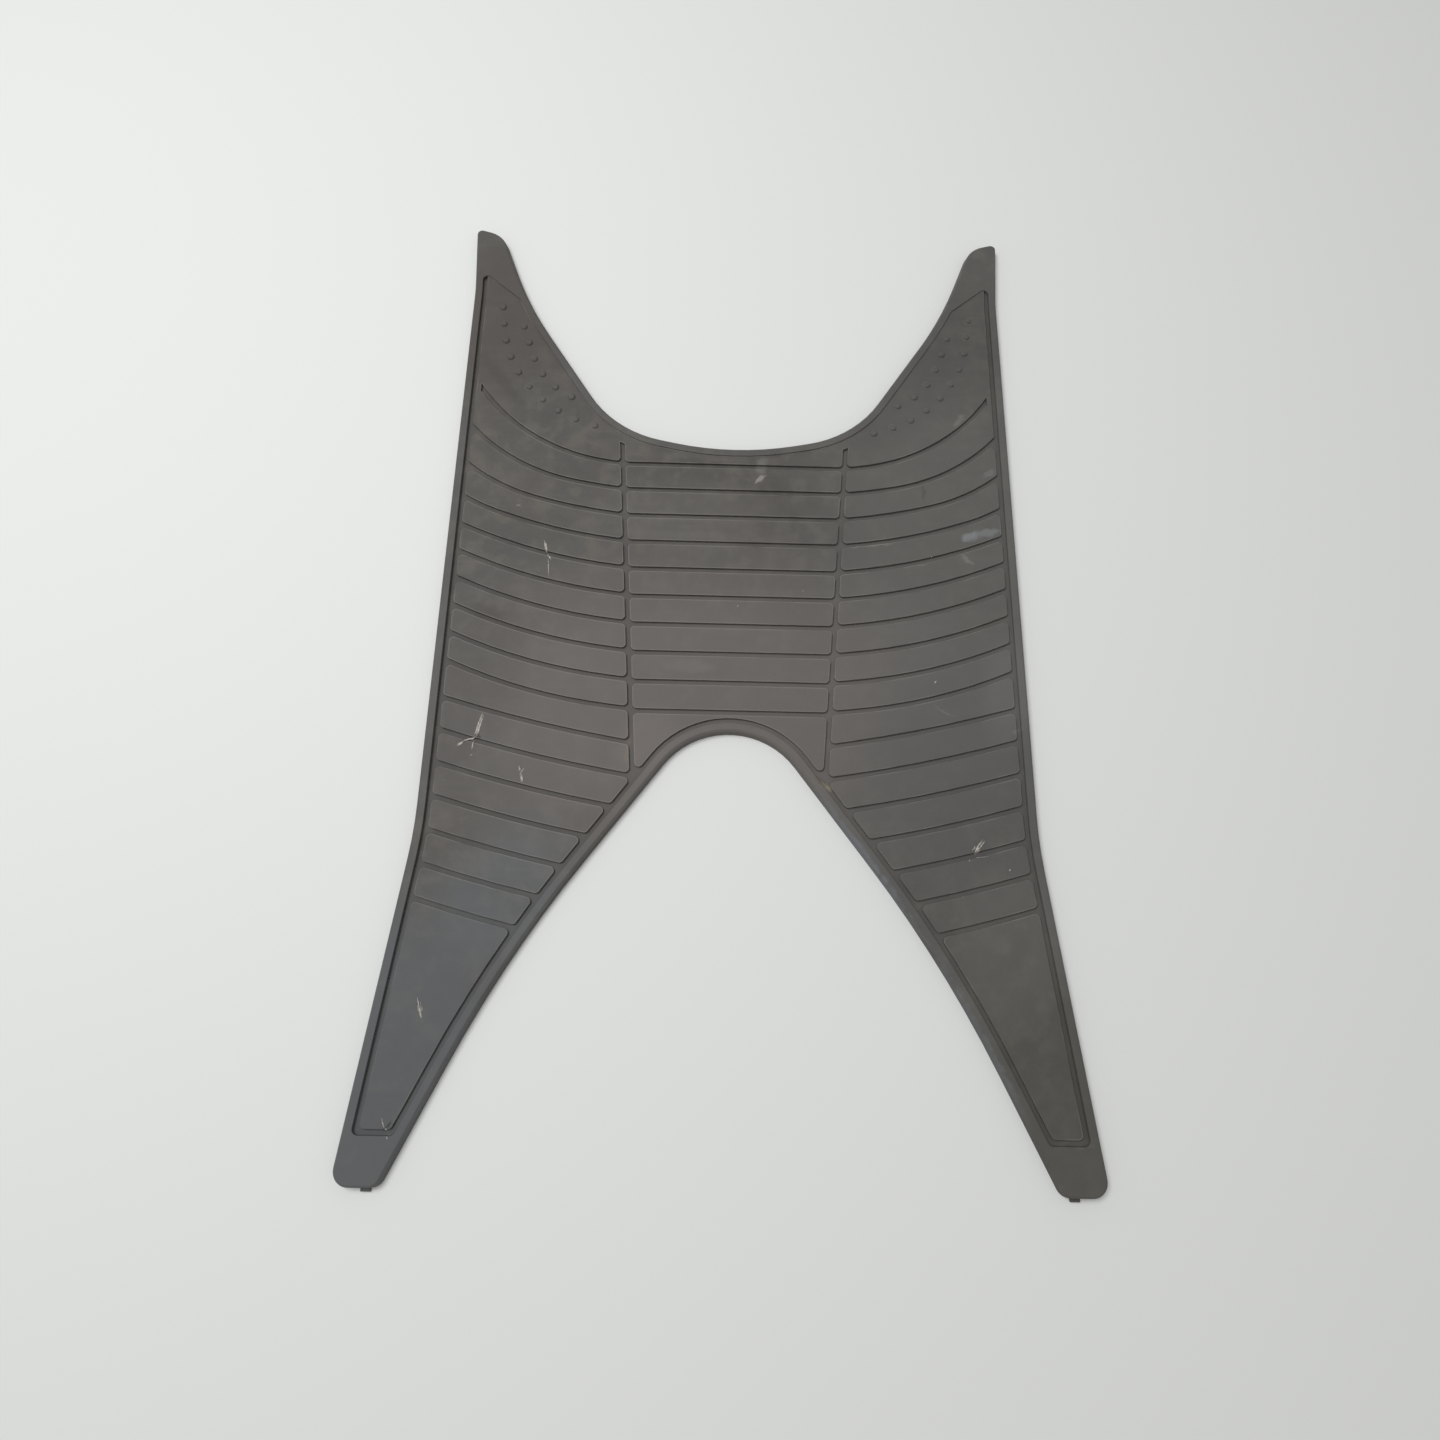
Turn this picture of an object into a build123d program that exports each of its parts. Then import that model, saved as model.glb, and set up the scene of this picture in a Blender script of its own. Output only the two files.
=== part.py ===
"""Scooter floor mat: one rubber moulding with a raised rim, tread pads and dotted horns.

It lies flat on its plain underside. +Y points to the front of the scooter, +X to the right and +Z up.
The horns run up beside the steering tunnel, and the legs run back on both sides of the seat arch.
It is drawn with Y = 0 at the last straight groove of the centre panel, and moved to its middle at the end.
"""
import os
from math import asin, cos, degrees, radians, sin, tan

from build123d import *

# Heights: the pads and the rim stand on a plain sheet
SHEET_THICKNESS = 3.6
PAD_HEIGHT = 1.5
RIM_HEIGHT = 2.2

# Rim: a lip round the whole edge, with drafted walls that make it wider at its foot
RIM_WIDTH = 4.6
RIM_OUTER_DRAFT = 11.3
RIM_INNER_DRAFT = 4.0
RIM_EDGE_BEVEL = 0.8
RIM_CHANNEL = 3.0

# Outline of the rim's upper edge: straight runs that meet at corners, each rounded
TUNNEL_FLOOR_Y = 168.4
TUNNEL_FLOOR_ROUND = 190.0
TUNNEL_CORNER_X = 76.5
TUNNEL_CORNER_Y = 183.9
TUNNEL_CORNER_ROUND = 72.0
HORN_BEND_X = 139.5
HORN_BEND_Y = 279.2
HORN_BEND_ROUND = 270.0
HORN_TIP_X = 177.9
HORN_TIP_Y = 338.7
HORN_TIP_WIDTH = 17.4
HORN_TIP_DROP = 4.8
HORN_TIP_INNER_ROUND = 16.8
HORN_TIP_OUTER_ROUND = 3.0
WAIST_X = 174.7
WAIST_FRONT_Y = 289.5
WAIST_FRONT_ROUND = 200.0
WAIST_REAR_Y = -73.8
WAIST_REAR_ROUND = 250.0
LEG_TIP_X = 197.0
LEG_TIP_Y = -253.0
LEG_TIP_WIDTH = 23.0
LEG_TIP_OUTER_ROUND = 8.0
LEG_TIP_INNER_ROUND = 6.0
LEG_BEND_Y = -138.9
LEG_BEND_ROUND = 640.0
ARCH_HALF_ANGLE = 36.9
ARCH_ROUND = 48.7

# Plain caps at the four ends, where the rim closes over the full width
HORN_CAP_Y = 303.2
HORN_CAP_ANGLE = 39.5
LEG_CAP_Y = -229.2
CAP_CORNER_ROUND = 3.2

# Tread pads: a centre panel of straight bars between two columns of curved bars
GROOVE_WIDTH = 3.0
GROOVE_LEAN = 29.0
GROOVE_STOP = 6.0
PAD_CORNER_ROUND = 2.5
PANEL_PITCH = 18.0
PANEL_HALF_WIDTH = 56.7
PANEL_SPREAD_ANGLE = 4.2
PANEL_NECK = 1.8
SIDE_ROOT_X = 70.0
SIDE_LEAD = 2.3
SIDE_FRONT_PITCH = 17.75
SIDE_FRONT_SLOPE = 6.1
SIDE_FRONT_SWEEP = 325.0
SIDE_REAR_PITCH = 19.3
SIDE_REAR_SLOPE = 9.6
SIDE_REAR_SWEEP = 820.0

# Curl: the front grooves turn up beside the rim, each one further out than the groove before it
CURL_LEAD = 9.0
CURL_STEP = 22.5
CURL_ROUND = 122.0
CURL_END_ANGLE = 57.0

# Grip dots: low blunt studs in two bent rows on each horn, the outer one along the rim
DOT_DIAMETER = 5.0
DOT_HEIGHT = 1.1
DOT_SIDES = 10
DOT_DRAFT = 25.0
DOT_BEVEL = 0.5
OUTER_DOTS = 10
OUTER_FRONT_X = 155.3
OUTER_FRONT_Y = 275.4
OUTER_BEND_X = 144.7
OUTER_BEND_Y = 203.4
OUTER_END_X = 89.5
OUTER_END_Y = 187.2
OUTER_BEND_ROUND = 85.0
INNER_DOTS = 6
INNER_FRONT_X = 140.2
INNER_FRONT_Y = 260.6
INNER_BEND_X = 125.5
INNER_BEND_Y = 218.5
INNER_END_X = 105.5
INNER_END_Y = 207.9
INNER_BEND_ROUND = 50.0

# Feed nubs: what is left of the moulding feed, low on each leg's end
NUB_X = 180.0
NUB_WIDTH = 5.0
NUB_REACH = 1.4
NUB_THICKNESS = 1.6

RIM_TOP = SHEET_THICKNESS + RIM_HEIGHT
RIM_FLANK = RIM_TOP * tan(radians(RIM_OUTER_DRAFT))
RIM_AND_CHANNEL = RIM_WIDTH + RIM_CHANNEL
PAD_TOP = SHEET_THICKNESS + PAD_HEIGHT
BEYOND = 2 * LEG_TIP_X

# As many grooves as fit between the legs' bend and the rim at the lowest point of the tunnel notch
TREAD_FRONT_Y = min(TUNNEL_FLOOR_Y, TUNNEL_CORNER_Y) - RIM_WIDTH
PANEL_GROOVES = 1 + int(TREAD_FRONT_Y / PANEL_PITCH)
SIDE_FRONT_GROOVES = 1 + int((TREAD_FRONT_Y - SIDE_LEAD) / SIDE_FRONT_PITCH)
SIDE_REAR_GROOVES = int((SIDE_LEAD - LEG_BEND_Y) / SIDE_REAR_PITCH)


def limited_round(wanted, before, corner, after, share):
    """A corner's wanted radius, limited so that its rounding takes at most a share of the runs beside it."""
    back = before - corner
    ahead = after - corner
    half_angle = radians(back.get_angle(ahead)) / 2
    return min(wanted, share * min(back.length, ahead.length) * tan(half_angle))


def mirrored_outline(right):
    """Corners of the right half, followed by their mirror images in the opposite order."""
    return right + [(-x, *rest) for x, *rest in reversed(right)]


def right_of(x):
    """Everything to the right of x."""
    return Pos(x) * Rectangle(BEYOND, 2 * BEYOND, align=(Align.MIN, Align.CENTER))


def rim_outline():
    """The rim's upper edge: tunnel floor, right horn, waist, right leg, seat arch, and back on the left."""
    arch_top_y = -(GROOVE_WIDTH + PANEL_NECK + RIM_AND_CHANNEL)
    arch_y = arch_top_y + ARCH_ROUND * (1 / sin(radians(ARCH_HALF_ANGLE)) - 1)
    leg_bend_x = (arch_y - LEG_BEND_Y) * tan(radians(ARCH_HALF_ANGLE))
    right = [
        (TUNNEL_CORNER_X, TUNNEL_CORNER_Y, TUNNEL_CORNER_ROUND),
        (HORN_BEND_X, HORN_BEND_Y, HORN_BEND_ROUND),
        (HORN_TIP_X - HORN_TIP_WIDTH, HORN_TIP_Y - HORN_TIP_DROP, HORN_TIP_INNER_ROUND),
        (HORN_TIP_X, HORN_TIP_Y, HORN_TIP_OUTER_ROUND),
        (WAIST_X, WAIST_FRONT_Y, WAIST_FRONT_ROUND),
        (WAIST_X, WAIST_REAR_Y, WAIST_REAR_ROUND),
        (LEG_TIP_X, LEG_TIP_Y, LEG_TIP_OUTER_ROUND),
        (LEG_TIP_X - LEG_TIP_WIDTH, LEG_TIP_Y, LEG_TIP_INNER_ROUND),
        (leg_bend_x, LEG_BEND_Y, LEG_BEND_ROUND),
    ]
    arch = (0, arch_y, ARCH_ROUND)
    tunnel = (0, TUNNEL_FLOOR_Y, TUNNEL_FLOOR_ROUND)
    corners = [tunnel] + right + [arch] + mirrored_outline(right)[len(right):]
    points = [Vector(x, y) for x, y, _ in corners]
    radii = []
    for index, (_, _, radius) in enumerate(corners):
        after = points[(index + 1) % len(points)]
        radii.append(limited_round(radius, points[index - 1], points[index], after, 0.5))
    return make_face(FilletPolyline(points, radius=radii, close=True).edges())


def between_caps(inset):
    """The field between the four plain caps, drawn in by inset from each cap's edge."""
    slope = radians(HORN_CAP_ANGLE)
    lip_x = WAIST_X - RIM_WIDTH
    lip_y = HORN_CAP_Y - inset / cos(slope)
    right = [
        (TUNNEL_CORNER_X, lip_y - (lip_x - TUNNEL_CORNER_X) * tan(slope)),
        (BEYOND, lip_y + (BEYOND - lip_x) * tan(slope)),
        (BEYOND, LEG_CAP_Y + inset),
    ]
    return make_face(Polyline(mirrored_outline(right), close=True).edges())


def rounded_corners(area, radius):
    """The area with its outer corners rounded: drawn in by the radius and let out again."""
    return offset(offset(area, -radius), radius)


def panel_x(y):
    """Half of the centre panel's width at y."""
    return PANEL_HALF_WIDTH + y * tan(radians(PANEL_SPREAD_ANGLE))


def panel_band(front_y, rear_y):
    """The centre panel's full width between two heights."""
    right = [(panel_x(front_y), front_y), (panel_x(rear_y), rear_y)]
    return make_face(Polyline(mirrored_outline(right), close=True).edges())


def ahead_of_groove(index):
    """Everything in front of a side groove: a gentle arc from the panel outwards, then its curl."""
    front_steps = min(index, SIDE_FRONT_GROOVES - 1)
    rear_steps = index - front_steps
    slope = SIDE_REAR_SLOPE if rear_steps else SIDE_FRONT_SLOPE
    radius = SIDE_REAR_SWEEP if rear_steps else SIDE_FRONT_SWEEP
    front_y = SIDE_LEAD + (SIDE_FRONT_GROOVES - 1 - front_steps) * SIDE_FRONT_PITCH
    root = Vector(SIDE_ROOT_X, front_y - rear_steps * SIDE_REAR_PITCH)
    heading = Vector(1, tan(radians(slope)))
    reach = min(CURL_LEAD + index * CURL_STEP, LEG_TIP_X - SIDE_ROOT_X)
    curl_angle = degrees(asin(sin(radians(slope)) + reach / radius))
    lead = Line(root - heading * SIDE_ROOT_X, root)
    sweep = JernArc(root, heading, radius, curl_angle - slope)
    curl = JernArc(sweep @ 1, sweep % 1, CURL_ROUND, CURL_END_ANGLE - curl_angle)
    end = Line(curl @ 1, curl @ 1 + (curl % 1) * LEG_TIP_X)
    far_end = end @ 1
    rest = Polyline(far_end, (far_end.X, far_end.Y + BEYOND), (0, far_end.Y + BEYOND), lead @ 0)
    return make_face([lead, sweep, curl, end, *rest.edges()])


def behind_groove(index, area):
    """The part of an area that lies behind a side groove."""
    lean = radians(GROOVE_LEAN)
    return area - Pos(GROOVE_WIDTH * sin(lean), -GROOVE_WIDTH * cos(lean)) * ahead_of_groove(index)


def panel_pads():
    """Centre pads: the front one runs into the rim, the rear one is two lobes joined by a thin neck."""
    groove_ys = [(PANEL_GROOVES - 1 - step) * PANEL_PITCH for step in range(PANEL_GROOVES)]
    pads = [rounded_corners(panel_band(BEYOND, groove_ys[0]) & RIM_FIELD, PAD_CORNER_ROUND)]
    for front_y, rear_y in zip(groove_ys, groove_ys[1:]):
        bar = panel_band(front_y - GROOVE_WIDTH, rear_y) & PAD_FIELD
        pads.append(rounded_corners(bar, PAD_CORNER_ROUND))
    rear = panel_band(groove_ys[-1] - GROOVE_WIDTH, LEG_CAP_Y) & PAD_FIELD
    lobe = rear & right_of(PANEL_HALF_WIDTH / 2)
    corners = lobe - rounded_corners(lobe, PAD_CORNER_ROUND)
    trimmings = corners & right_of(PANEL_HALF_WIDTH / 2 + PAD_CORNER_ROUND)
    return pads + [rear - trimmings - mirror(trimmings, about=Plane.YZ)]


def horn_field():
    """Room for the right horn pad: it runs into the rim, but leaves the outer side's channel free."""
    outer_side = right_of(WAIST_X - 2 * RIM_AND_CHANNEL)
    return RIM_FIELD - (outer_side - offset(OUTLINE, -RIM_AND_CHANNEL))


def horn_bridge():
    """The strip beside the rim that joins the horn pad to its neighbours, where their grooves stop."""
    strip = horn_field() - offset(OUTLINE, -(RIM_WIDTH + GROOVE_STOP))
    return strip & right_of(PANEL_HALF_WIDTH) & Pos(0, -3 * GROOVE_STOP) * ahead_of_groove(0)


def side_pads():
    """Right-hand pads: the horn pad, then the curved bars and the leg pad."""
    grooves = SIDE_FRONT_GROOVES + SIDE_REAR_GROOVES
    gap = GROOVE_WIDTH / cos(radians(PANEL_SPREAD_ANGLE))
    inner_edge = [(panel_x(y) + gap, y) for y in (BEYOND, -BEYOND)]
    outside_panel = make_face(Polyline(*inner_edge, (BEYOND, -BEYOND), (BEYOND, BEYOND), close=True).edges())
    side_field = PAD_FIELD & outside_panel
    pads = [horn_field() & outside_panel & ahead_of_groove(0)]
    for index in range(1, grooves):
        pads.append(behind_groove(index - 1, side_field & ahead_of_groove(index)))
    pads.append(behind_groove(grooves - 1, side_field))
    return [rounded_corners(pad, PAD_CORNER_ROUND) for pad in pads]


def raised_pad(area):
    """A pad that stands on the sheet."""
    return Pos(0, 0, SHEET_THICKNESS) * extrude(area, PAD_HEIGHT)


def dot_row(count, front, bend, end, bend_round):
    """A row of studs, evenly spaced along a bent line."""
    radius = limited_round(bend_round, Vector(front), Vector(bend), Vector(end), 0.95)
    row = FilletPolyline(front, bend, end, radius=radius)
    stud = extrude(RegularPolygon(DOT_DIAMETER / 2, DOT_SIDES), DOT_HEIGHT, taper=DOT_DRAFT)
    stud = Pos(0, 0, PAD_TOP) * chamfer(stud.faces().sort_by(Axis.Z)[-1].edges(), DOT_BEVEL)
    return [Pos(row @ (step / (count - 1))) * stud for step in range(count)]


def framed_sheet():
    """The sheet with its rim: a drafted blank with a bevelled upper edge, and the field sunk into it."""
    blank = extrude(offset(OUTLINE, RIM_FLANK), RIM_TOP, taper=RIM_OUTER_DRAFT)
    blank = chamfer(blank.faces().sort_by(Axis.Z)[-1].edges(), RIM_EDGE_BEVEL)
    recess = rounded_corners(offset(OUTLINE, -RIM_WIDTH) & between_caps(0), CAP_CORNER_ROUND)
    return blank - Pos(0, 0, RIM_TOP) * extrude(recess, RIM_HEIGHT, dir=(0, 0, -1), taper=RIM_INNER_DRAFT)


OUTLINE = rim_outline()
PAD_FIELD = offset(OUTLINE, -RIM_AND_CHANNEL) & between_caps(RIM_CHANNEL)
RIM_FIELD = offset(OUTLINE, -RIM_WIDTH / 2) & between_caps(-RIM_WIDTH / 2)

right_side = [raised_pad(area) for area in side_pads()]
right_side.append(raised_pad(horn_bridge()))
right_side += dot_row(
    OUTER_DOTS,
    (OUTER_FRONT_X, OUTER_FRONT_Y),
    (OUTER_BEND_X, OUTER_BEND_Y),
    (OUTER_END_X, OUTER_END_Y),
    OUTER_BEND_ROUND,
)
right_side += dot_row(
    INNER_DOTS,
    (INNER_FRONT_X, INNER_FRONT_Y),
    (INNER_BEND_X, INNER_BEND_Y),
    (INNER_END_X, INNER_END_Y),
    INNER_BEND_ROUND,
)
nub_length = RIM_WIDTH + RIM_FLANK + NUB_REACH
nub = Box(NUB_WIDTH, nub_length, NUB_THICKNESS, align=(Align.CENTER, Align.MAX, Align.MIN))
right_side.append(Pos(NUB_X, LEG_TIP_Y + RIM_WIDTH) * nub)
left_side = [mirror(shape, about=Plane.YZ) for shape in right_side]

mat = framed_sheet() + [raised_pad(area) for area in panel_pads()] + right_side + left_side
mat = Pos(0, -mat.bounding_box().center().Y) * mat

os.makedirs("parts", exist_ok=True)
export_step(mat, "parts/floor_mat.step")
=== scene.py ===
import math
import random

import bmesh
import bpy
from mathutils import Euler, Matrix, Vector
from mathutils.bvhtree import BVHTree


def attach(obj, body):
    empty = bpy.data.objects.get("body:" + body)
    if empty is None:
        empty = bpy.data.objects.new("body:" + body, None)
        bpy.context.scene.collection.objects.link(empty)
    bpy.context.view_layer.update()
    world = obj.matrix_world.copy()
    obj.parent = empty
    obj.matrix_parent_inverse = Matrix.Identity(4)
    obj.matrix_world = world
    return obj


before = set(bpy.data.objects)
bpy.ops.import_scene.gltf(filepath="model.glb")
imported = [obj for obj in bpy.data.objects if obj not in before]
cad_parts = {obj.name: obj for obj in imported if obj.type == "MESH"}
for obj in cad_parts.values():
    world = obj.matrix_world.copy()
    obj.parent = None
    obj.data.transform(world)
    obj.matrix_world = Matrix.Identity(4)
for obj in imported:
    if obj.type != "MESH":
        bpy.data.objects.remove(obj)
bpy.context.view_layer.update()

# Floor mat: one sheet of dark grey rubber, pressed in a mould with its rim, pads and dots in one piece.
# It lies loose on the scooter's floor, and years of shoes have rubbed, stained and scratched its tread.
MM = 0.001


def linear(hex_colour):
    """An sRGB colour such as #6b6966 as linear red, green, blue and alpha."""
    shares = [int(hex_colour[start:start + 2], 16) / 255 for start in (1, 3, 5)]
    return [s / 12.92 if s <= 0.04045 else ((s + 0.055) / 1.055) ** 2.4 for s in shares] + [1.0]


def add(tree, kind, inputs, **settings):
    """Adds a shader node with its settings; each input is a value or the socket that feeds it."""
    node = tree.nodes.new("ShaderNode" + kind)
    for name, value in settings.items():
        setattr(node, name, value)
    for name, value in inputs.items():
        if isinstance(value, bpy.types.NodeSocket):
            tree.links.new(value, node.inputs[name])
        else:
            node.inputs[name].default_value = value
    return node


# Moulded rubber, worn: dull warm grey with a faint sheen, clouded by age, with faint streaks across it.
# The rim is rubbed a little paler and carries a painted sheen, pad edges are rubbed pale in places and carry
# a painted highlight, and the groove floors are darker.
# The mould's grain is nearer 0.3 mm and is drawn at 1.1 mm, so that it shows.
rubber = bpy.data.materials.new("moulded_rubber_worn")
rubber.use_nodes = True
tree = rubber.node_tree
shader = tree.nodes["Principled BSDF"]
shader.inputs["IOR"].default_value = 1.52
shader.inputs["Specular IOR Level"].default_value = 0.25
place = add(tree, "TexCoord", {}).outputs["Object"]
height = add(tree, "SeparateXYZ", {"Vector": place}).outputs["Z"]
mottle_size = {"Vector": place, "Scale": 1 / (55 * MM), "Detail": 5.0, "Roughness": 0.6}
mottle = add(tree, "TexNoise", mottle_size).outputs["Fac"]
blotch_size = {"Vector": place, "W": 3.0, "Scale": 1 / (24 * MM), "Detail": 3.0}
blotch = add(tree, "TexNoise", blotch_size, noise_dimensions="4D").outputs["Fac"]
grain = add(tree, "TexNoise", {"Vector": place, "Scale": 1 / (1.1 * MM), "Detail": 3.0}).outputs["Fac"]
smudge = add(tree, "TexNoise", {"Vector": place, "Scale": 1 / (10 * MM), "Detail": 3.0}).outputs["Fac"]
across = add(tree, "Mapping", {"Vector": place, "Scale": (0.06, 1.0, 1.0)}).outputs["Vector"]
streaks = add(tree, "TexNoise", {"Vector": across, "Scale": 1 / (7 * MM), "Detail": 3.0}).outputs["Fac"]


def oval(tree, vector, x, y, long_mm, wide_mm, turn):
    """A soft oval mask: its place, half length and half width in mm, and its turn in degrees."""
    laid = add(tree, "Mapping", {
        "Vector": vector,
        "Location": (x * MM, y * MM, 0),
        "Rotation": (0, 0, math.radians(turn)),
        "Scale": (long_mm * MM, wide_mm * MM, 1),
    }, vector_type="TEXTURE")
    fade = add(tree, "TexGradient", {"Vector": laid.outputs["Vector"]}, gradient_type="SPHERICAL")
    mask = add(tree, "MapRange", {"Value": fade.outputs["Fac"], "From Min": 0.05, "From Max": 0.55})
    return mask.outputs["Result"]


# Groove floors are darker, most of all on the left.
groove_floor, pad_top, rim_top = 3.6 * MM, 5.1 * MM, 5.8 * MM
in_grooves = {"Value": height, "From Min": groove_floor + 0.6 * MM, "From Max": groove_floor + 0.1 * MM}
deep = add(tree, "MapRange", in_grooves).outputs["Result"]
left_area = oval(tree, place, -110, -35, 110, 170, 0)
darker_groove_floor = add(tree, "Math", {0: deep, 1: left_area}, operation="MULTIPLY").outputs["Value"]

# Pad edges are rubbed pale in patches and carry a painted highlight, most of all on the left and in the
# middle.
# An edge is where the surface turns within 1.4 mm, at the pads' height.
pale_edge_area = oval(tree, place, -55, -15, 170, 210, 0)
flat_normal = add(tree, "NewGeometry", {}).outputs["Normal"]
wide_normal = add(tree, "Bevel", {"Radius": 1.4 * MM}, samples=6).outputs["Normal"]
facing = add(tree, "VectorMath", {0: flat_normal, 1: wide_normal}, operation="DOT_PRODUCT").outputs["Value"]
edge = add(tree, "MapRange", {"Value": facing, "From Min": 0.995, "From Max": 0.9}).outputs["Result"]
near_pad_top = {0: height, 1: pad_top - 0.1 * MM, 2: 0.25 * MM}
upper = add(tree, "Math", near_pad_top, operation="COMPARE").outputs["Value"]
upper_edge = add(tree, "Math", {0: edge, 1: upper}, operation="MULTIPLY").outputs["Value"]
pale_edge_share = add(tree, "Math", {0: pale_edge_area, 1: 0.2, 2: blotch}, operation="MULTIPLY_ADD").outputs["Value"]
patchy = add(tree, "MapRange", {"Value": pale_edge_share, "From Min": 0.45, "From Max": 0.65}).outputs["Result"]
rubbed_and_highlit_edge = add(tree, "Math", {0: upper_edge, 1: patchy}, operation="MULTIPLY").outputs["Value"]

# Layers over the base colour: what masks each one, where the mask starts and ends, its strength and colour
layers = []
for source, low, high, amount, colour in (
    (mottle, 0.35, 0.65, 0.8, "#5f5b57"),
    (blotch, 0.45, 0.70, 0.4, "#545550"),
    (streaks, 0.55, 0.80, 0.3, "#706c66"),
    (grain, 0.50, 0.75, 0.25, "#454240"),
    (smudge, 0.50, 0.70, 0.35, "#706b62"),
    (smudge, 0.50, 0.30, 0.25, "#474543"),
    # The rim: rubbed a little paler, and a painted sheen
    (height, rim_top - 0.5 * MM, rim_top - 0.1 * MM, 0.3, "#605f5d"),
):
    mask = add(tree, "MapRange", {"Value": source, "From Min": low, "From Max": high})
    layers.append((mask.outputs["Result"], amount, colour))

# Uneven tones, stains, scuffs and rubbed patches with ragged edges: place, half length, half width and turn
# in mm and degrees, then strength and colour
wobble = add(tree, "TexNoise", {"Vector": place, "Scale": 1 / (6 * MM), "Detail": 4.0}).outputs["Color"]
shift = add(tree, "VectorMath", {0: wobble, 1: (0.5, 0.5, 0.5)}, operation="SUBTRACT").outputs["Vector"]
shifted = {0: shift, 1: (7 * MM, 7 * MM, 0), 2: place}
ragged = add(tree, "VectorMath", shifted, operation="MULTIPLY_ADD").outputs["Vector"]
for x, y, long_mm, wide_mm, turn, amount, colour in (
    # Wide soft tones: warm in the middle, dark on the horns and the right leg, and on the left leg a cool
    # painted sheen of window light
    (135, 70, 190, 110, 100, 0.6, "#62625f"),
    (-15, -42, 210, 130, 0, 0.65, "#6e6966"),
    (135, -85, 110, 85, 80, 0.55, "#595957"),
    (-48, -62, 30, 22, 60, 0.35, "#79726e"),
    # Cool painted sheen of window light on the left leg
    (-185, -235, 120, 110, 90, 0.6, "#5d6063"),
    (185, -268, 105, 110, 90, 0.5, "#4f4d47"),
    (156, -170, 60, 42, 60, 0.3, "#6a6965"),
    (-150, 235, 110, 70, 60, 0.6, "#4c4743"),
    (-148, -35, 85, 32, 80, 0.3, "#4b4846"),
    (165, -25, 45, 22, 80, 0.3, "#737270"),
    (105, 172, 75, 32, 55, 0.3, "#4c4a48"),
    (152, 215, 70, 34, 72, 0.35, "#4a4a48"),
    # Paler cool painted sheen of window light on the left leg's inner side
    (-122, -148, 55, 45, 60, 0.35, "#666b70"),
    (-35, 85, 75, 30, 0, 0.25, "#6f6b67"),
    # Pale bluish bands along the arch's right flank, a painted sheen of window light, and a pale band below
    # the right leg's pad
    (80, -131, 60, 4, -55, 0.6, "#767a80"),
    (134.5, -218, 60, 4, -62, 0.5, "#6d7176"),
    (181, -269.4, 13, 2.2, 0, 0.35, "#6a6863"),
    # Rubbed patches, scratches and one dark scuff, on the right side and at the front of the middle
    (147, 73.8, 7.5, 3.6, 14, 0.4, "#9aa0a2"),
    (158.5, 76.8, 10.5, 3.6, 14, 0.3, "#989da0"),
    (145, 58.4, 6, 1.5, -38, 0.28, "#8f9392"),
    (162, 118.5, 6, 2.6, 30, 0.22, "#94938f"),
    (145, 157, 7, 2.6, 50, 0.26, "#908e8a"),
    (119.3, 103.9, 8, 2, 92, 0.4, "#454342"),
    (86.3, 66.3, 17, 1, 7, 0.35, "#8d8a85"),
    (113.6, 53.4, 9, 0.8, 11, 0.25, "#8a8781"),
    (125, -39, 9, 1, -32, 0.2, "#8a8781"),
    (167.3, -50.2, 5, 2, 15, 0.2, "#8a8781"),
    (16.6, 110.4, 5.2, 1.7, 42, 0.5, "#aaa6a2"),
    (17.2, 119, 8, 4.5, 80, 0.25, "#96928e"),
    # Dried mud beside the arch
    (54.5, -85, 5.5, 1.6, -51, 0.75, "#938a74"),
    (52, -82, 5, 3, -51, 0.35, "#5f4a3a"),
    (-58, -66, 10, 1.8, 80, 0.35, "#85795f"),
    # Smears, a rubbed streak in the middle, and dark pits under the torn fibres
    (-147, 16, 15, 6, -15, 0.5, "#474340"),
    (-160, -1, 5, 2.5, -15, 0.45, "#4d4b4e"),
    (-151, 178, 36, 5, -52, 0.3, "#403d3a"),
    (-24, -15, 20, 6, 0, 0.25, "#7d7972"),
    (-171, -266, 4, 0.9, 47, 0.8, "#353330"),
    (-144.5, -61, 2.2, 1.4, 20, 0.8, "#2f2d2b"),
):
    layers.append((oval(tree, ragged, x, y, long_mm, wide_mm, turn), amount, colour))

# On top of all that, darker groove floors, and pale rubbed edges with a painted highlight
layers.append((deep, 0.12, "#4d4a46"))
layers.append((darker_groove_floor, 0.34, "#3f3c39"))
layers.append((rubbed_and_highlit_edge, 0.55, "#918c86"))

colour_now = linear("#514e4b")
for factor, amount, colour in layers:
    share = add(tree, "Math", {0: factor, 1: amount}, operation="MULTIPLY").outputs["Value"]
    blend = add(tree, "Mix", {0: share, 6: colour_now, 7: linear(colour)}, data_type="RGBA")
    colour_now = blend.outputs[2]
tree.links.new(colour_now, shader.inputs["Base Color"])
dull_range = {"Value": mottle, "From Min": 0.3, "From Max": 0.7, "To Min": 0.55, "To Max": 0.7}
dullness = add(tree, "MapRange", dull_range).outputs["Result"]
tree.links.new(dullness, shader.inputs["Roughness"])
# Soft edges, a slight swell of the whole sheet and the fine grain of its skin
relief = add(tree, "Bevel", {"Radius": 0.6 * MM}, samples=6).outputs["Normal"]
for source, strength, depth in ((mottle, 0.12, 3 * MM), (grain, 0.25, 0.15 * MM)):
    bump = {"Height": source, "Strength": strength, "Distance": depth, "Normal": relief}
    relief = add(tree, "Bump", bump).outputs["Normal"]
tree.links.new(relief, shader.inputs["Normal"])
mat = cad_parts["floor_mat"]
mat.data.materials.clear()
mat.data.materials.append(rubber)

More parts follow.
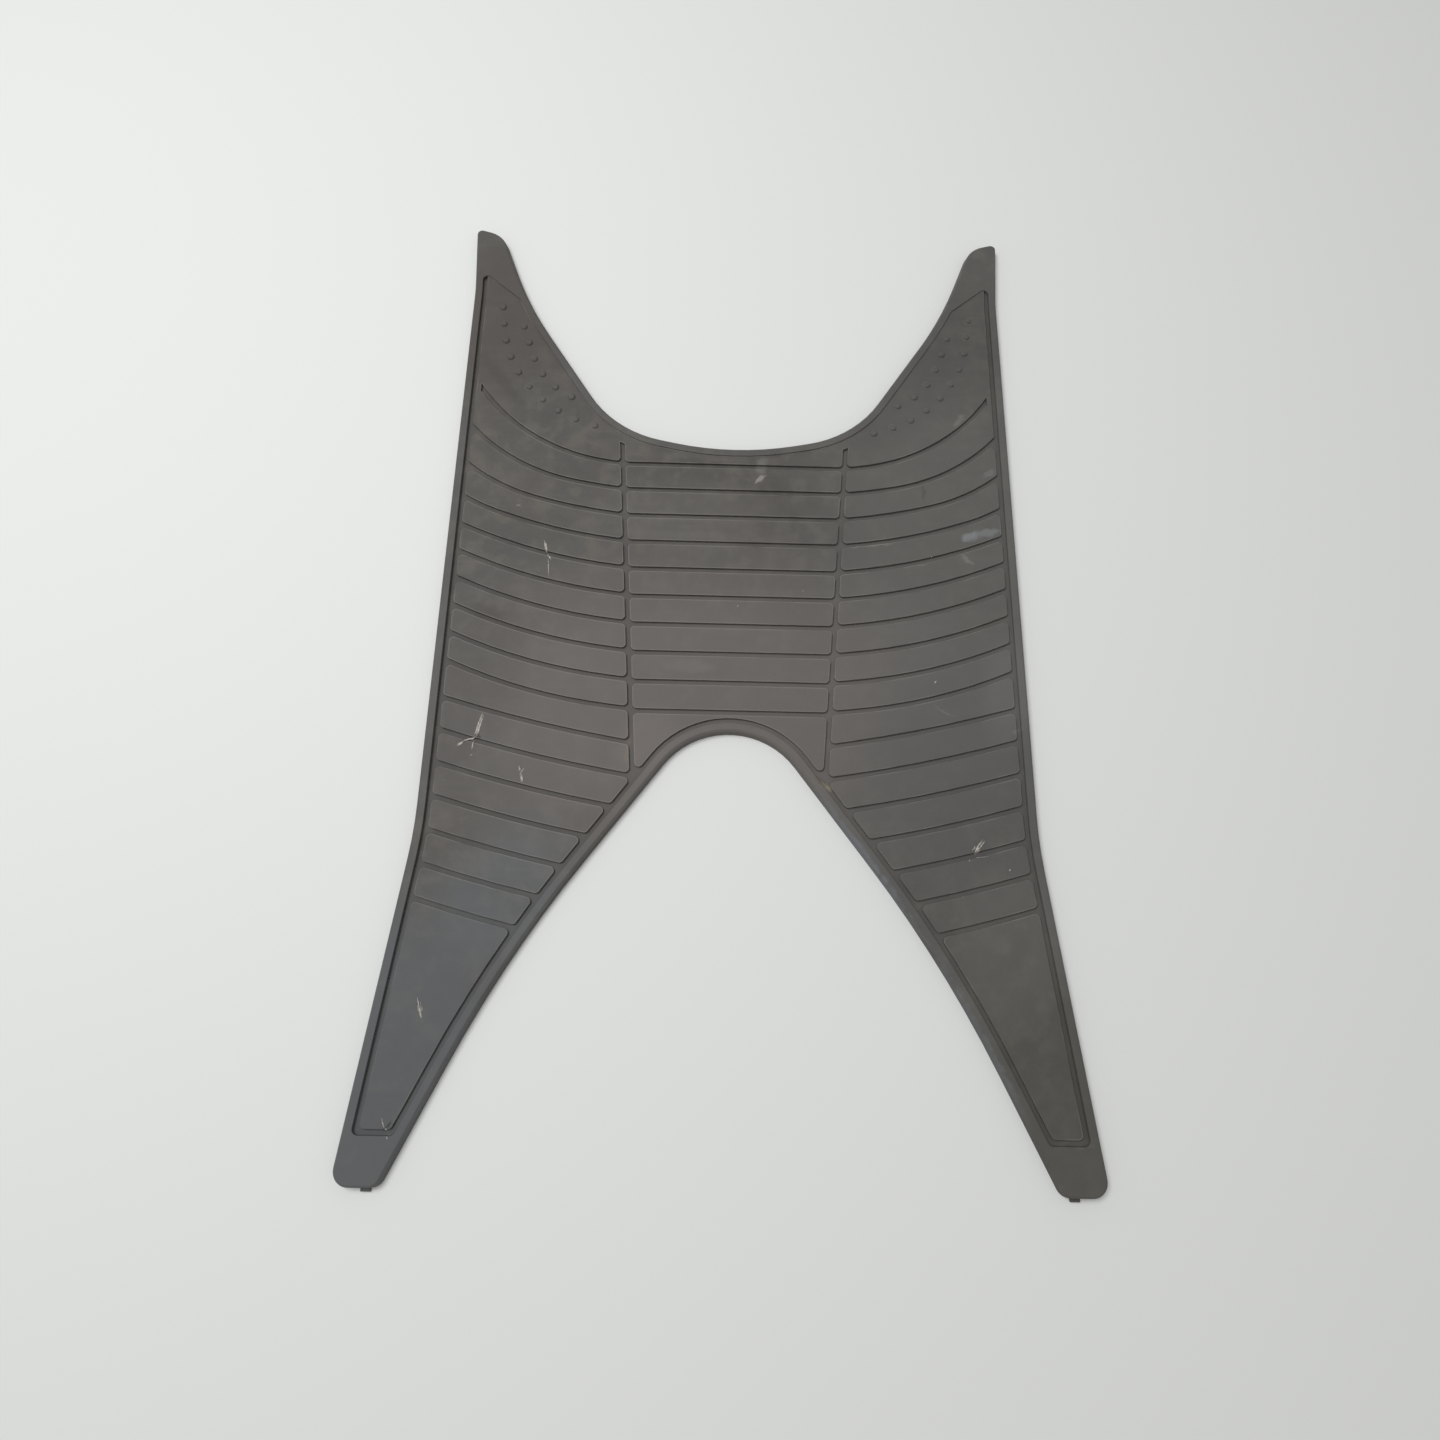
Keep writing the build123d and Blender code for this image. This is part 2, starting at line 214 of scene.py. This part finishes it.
# Torn fibres: where something sharp was dragged over the pads, the rubber has torn into pale fibres,
# a curled flap and a few crumbs. Each one is a low ridge of the mat's own rubber with thin ends, still
# rooted in it, so its line follows the tread below.
tread = BVHTree.FromPolygons([v.co for v in mat.data.vertices], [p.vertices for p in mat.data.polygons])
chance = random.Random(7)
fibres = bmesh.new()
# A stroke is two ends, the number of fibres, their spread to the side, their width and their lift, in mm
for x0, y0, x1, y1, count, spread, width, lift in (
    # Forked tear with its curled flap and a crumb, on the left bars
    (-142.9, -46.7, -146.9, -60.6, 6, 0.25, 0.6, 0.25),
    (-142.6, -48.0, -145.0, -60.2, 6, 0.25, 0.6, 0.25),
    (-143.9, -53.0, -146.3, -62.0, 6, 0.8, 0.6, 0.3),
    (-145.9, -61.3, -153.3, -63.8, 4, 0.4, 1.3, 0.8),
    (-152.4, -63.4, -155.9, -66.7, 3, 0.2, 1.1, 0.6),
    (-146.6, -61.7, -147.4, -68.9, 4, 0.3, 0.5, 0.25),
    (-147.1, -71.3, -147.7, -72.1, 1, 0.0, 1.1, 0.4),
    # A tear with a thin tail further to the front, and a small forked one further to the rear
    (-115.3, 64.2, -113.4, 55.6, 8, 0.5, 0.8, 0.35),
    (-113.6, 56.0, -110.2, 51.0, 4, 0.3, 0.6, 0.3),
    (-112.6, 53.0, -111.0, 39.1, 2, 0.15, 0.4, 0.15),
    (-119.7, -77.3, -118.3, -81.0, 4, 0.25, 0.6, 0.2),
    (-116.7, -78.4, -118.2, -81.6, 4, 0.25, 0.6, 0.2),
    (-118.3, -81.0, -117.1, -87.9, 7, 0.4, 0.6, 0.25),
    # Thin tears in the middle and at the end of the left leg's pad
    (-163.5, -203.4, -159.3, -215.8, 8, 0.5, 0.35, 0.2),
    (-161.6, -206.0, -160.4, -212.5, 5, 1.3, 0.3, 0.15),
    (-174.5, -262.5, -172.8, -268.1, 2, 0.2, 0.5, 0.15),
    (-172.9, -268.3, -171.2, -267.6, 3, 0.3, 0.7, 0.2),
    (-170.5, -269.9, -170.7, -272.7, 3, 0.2, 0.6, 0.2),
    # Frayed tuft with a crumb and a hair-thin scratch, on the right bars
    (138.0, -122.2, 140.6, -117.6, 14, 1.9, 0.7, 0.35),
    (139.6, -120.0, 143.9, -114.1, 7, 1.0, 0.5, 0.25),
    (134.8, -126.2, 135.4, -125.6, 1, 0.0, 0.9, 0.3),
    (136.5, -124.6, 146.0, -123.2, 1, 0.0, 0.25, 0.1),
    # Nicks and crumbs, one by one
    (-134.6, 88.0, -131.8, 87.4, 2, 0.2, 0.4, 0.15),
    (3.6, 23.2, 4.0, 24.4, 1, 0.0, 0.9, 0.3),
    (42.8, 34.5, 43.6, 34.9, 1, 0.0, 1.0, 0.25),
    (120.6, -22.4, 121.6, -20.6, 3, 0.4, 0.8, 0.3),
    (157.2, -131.4, 157.7, -129.8, 2, 0.3, 0.7, 0.25),
    (122.3, 59.2, 123.1, 59.8, 1, 0.0, 0.9, 0.3),
    (130.0, -146.0, 130.5, -145.5, 1, 0.0, 0.5, 0.2),
):
    start = Vector((x0 * MM, y0 * MM, 0))
    along = Vector((x1 * MM, y1 * MM, 0)) - start
    aside = Vector((-along.y, along.x, 0)).normalized()
    for number in range(count):
        first = chance.uniform(0, 0.4) if number else 0
        last = chance.uniform(0.65, 1) if number else 1
        strand = aside * chance.uniform(-spread, spread) * MM
        rings = []
        for step, girth in enumerate((0.2, 0.85, 1.0, 0.7, 0.15)):
            middle = start + along * (first + (last - first) * step / 4) + strand
            middle += aside * chance.uniform(-0.3, 0.3) * width * MM
            middle.z = tread.ray_cast(middle + Vector((0, 0, 1)), Vector((0, 0, -1)))[0].z
            half = aside * girth * width / 2 * MM
            crest = middle + Vector((0, 0, girth * lift * MM))
            rings.append([fibres.verts.new(point) for point in (middle - half, crest, middle + half)])
        for ring, following in zip(rings, rings[1:]):
            for side in range(3):
                after = (side + 1) % 3
                fibres.faces.new((ring[side], ring[after], following[after], following[side]))
        fibres.faces.new(rings[0][::-1])
        fibres.faces.new(rings[-1])
bmesh.ops.recalc_face_normals(fibres, faces=fibres.faces)
fibre_mesh = bpy.data.meshes.new("torn_fibres")
fibres.to_mesh(fibre_mesh)
fibres.free()
fibre_mesh.shade_smooth()
torn = bpy.data.objects.new("torn_fibres", fibre_mesh)
bpy.context.scene.collection.objects.link(torn)
# Torn rubber: freshly opened and dry, so it is pale, chalky and without sheen, greyer where dirt has got in.
chalky = bpy.data.materials.new("torn_rubber_chalky")
chalky.use_nodes = True
tree = chalky.node_tree
place = add(tree, "TexCoord", {}).outputs["Object"]
dirt = add(tree, "TexNoise", {"Vector": place, "Scale": 1 / (1.5 * MM), "Detail": 2.0}).outputs["Fac"]
dirt_amount = add(tree, "MapRange", {"Value": dirt, "From Min": 0.35, "From Max": 0.7}).outputs["Result"]
blend = add(tree, "Mix", {0: dirt_amount, 6: linear("#cbc4bb"), 7: linear("#8d8881")}, data_type="RGBA")
shader = tree.nodes["Principled BSDF"]
tree.links.new(blend.outputs[2], shader.inputs["Base Color"])
shader.inputs["IOR"].default_value = 1.52
shader.inputs["Roughness"].default_value = 0.85
fibre_mesh.materials.append(chalky)
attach(torn, "root")

# Floor: a plain table top of pale laminate that the mat lies on, set a hair below the mat's underside.
# Beyond about a metre it fades into the pale backdrop, so that low views show no dark horizon.
backdrop = linear("#dadbd9")


def show_backdrop(tree, lit, pale, share):
    """Mixes a pale shader over a lit one by a share, only for the camera and for reflections."""
    path = add(tree, "LightPath", {}).outputs
    seen = add(tree, "Math", {0: path["Is Camera Ray"], 1: path["Is Glossy Ray"]}, operation="ADD")
    seen = add(tree, "Math", {0: seen.outputs["Value"], 1: path["Is Transmission Ray"]}, operation="MAXIMUM")
    factor = add(tree, "Math", {0: seen.outputs["Value"], 1: share}, operation="MULTIPLY", use_clamp=True)
    return add(tree, "MixShader", {0: factor.outputs["Value"], 1: lit, 2: pale}).outputs["Shader"]


floor_mesh = bpy.data.meshes.new("floor")
floor_half = 6.0
floor_corners = [(x * floor_half, y * floor_half, 0) for x, y in ((-1, -1), (1, -1), (1, 1), (-1, 1))]
floor_mesh.from_pydata(floor_corners, [], [(0, 1, 2, 3)])
floor = bpy.data.objects.new("floor", floor_mesh)
bpy.context.scene.collection.objects.link(floor)
floor.location.z = -0.05 * MM
# Pale laminate, matt: an even off-white that shows the mat's soft shadow and no reflection of it.
laminate = bpy.data.materials.new("pale_laminate_matt")
laminate.use_nodes = True
tree = laminate.node_tree
shader = tree.nodes["Principled BSDF"]
shader.inputs["Base Color"].default_value = linear("#e6e7e4")
shader.inputs["IOR"].default_value = 1.5
shader.inputs["Roughness"].default_value = 0.7
place = add(tree, "TexCoord", {}).outputs["Object"]
away = add(tree, "VectorMath", {0: place}, operation="LENGTH").outputs["Value"]
fade = {"Value": away, "From Min": 0.78, "From Max": 1.35}
far = add(tree, "MapRange", fade, interpolation_type="SMOOTHSTEP")
haze = add(tree, "Emission", {"Color": backdrop, "Strength": 1.0}).outputs["Emission"]
surface = show_backdrop(tree, shader.outputs["BSDF"], haze, far.outputs["Result"])
tree.links.new(surface, tree.nodes["Material Output"].inputs["Surface"])
floor_mesh.materials.append(laminate)

# Light: a pale room all round, and one large soft window high to the front left.
# The window brightens the left of the table and shades the rear walls of the pads.
world = bpy.data.worlds.new("pale_room")
bpy.context.scene.world = world
world.use_nodes = True
tree = world.node_tree
room = tree.nodes["Background"]
room.inputs["Color"].default_value = linear("#f8f8f8")
room.inputs["Strength"].default_value = 0.45
wall = add(tree, "Background", {"Color": backdrop, "Strength": 1.0}).outputs["Background"]
surface = show_backdrop(tree, room.outputs["Background"], wall, 1.0)
tree.links.new(surface, tree.nodes["World Output"].inputs["Surface"])
window = bpy.data.lights.new("window", "AREA")
window.shape = "RECTANGLE"
window.size = 0.8
window.size_y = 0.8
window.energy = 17.5
window.color = linear("#f8f9fb")[:3]
window_object = bpy.data.objects.new("window", window)
window_object.location = (-0.68, 0.36, 1.5)
window_object.rotation_euler = (-window_object.location).to_track_quat("-Z", "Y").to_euler()
bpy.context.scene.collection.objects.link(window_object)

# Camera: held close above the mat's rear half and tipped a little forwards, as the photograph was taken,
# so the legs look larger than the horns.
camera = bpy.data.cameras.new("camera")
camera.sensor_width = 36.0
camera.lens = 21.25
camera.clip_start = 0.01
camera_object = bpy.data.objects.new("camera", camera)
camera_object.location = (-12.57 * MM, -178.53 * MM, 480.71 * MM)
camera_object.rotation_euler = Euler([math.radians(a) for a in (15.364, -1.109, 1.051)], "XYZ")
bpy.context.scene.collection.objects.link(camera_object)
bpy.context.scene.camera = camera_object
bpy.context.scene.view_settings.view_transform = "Standard"
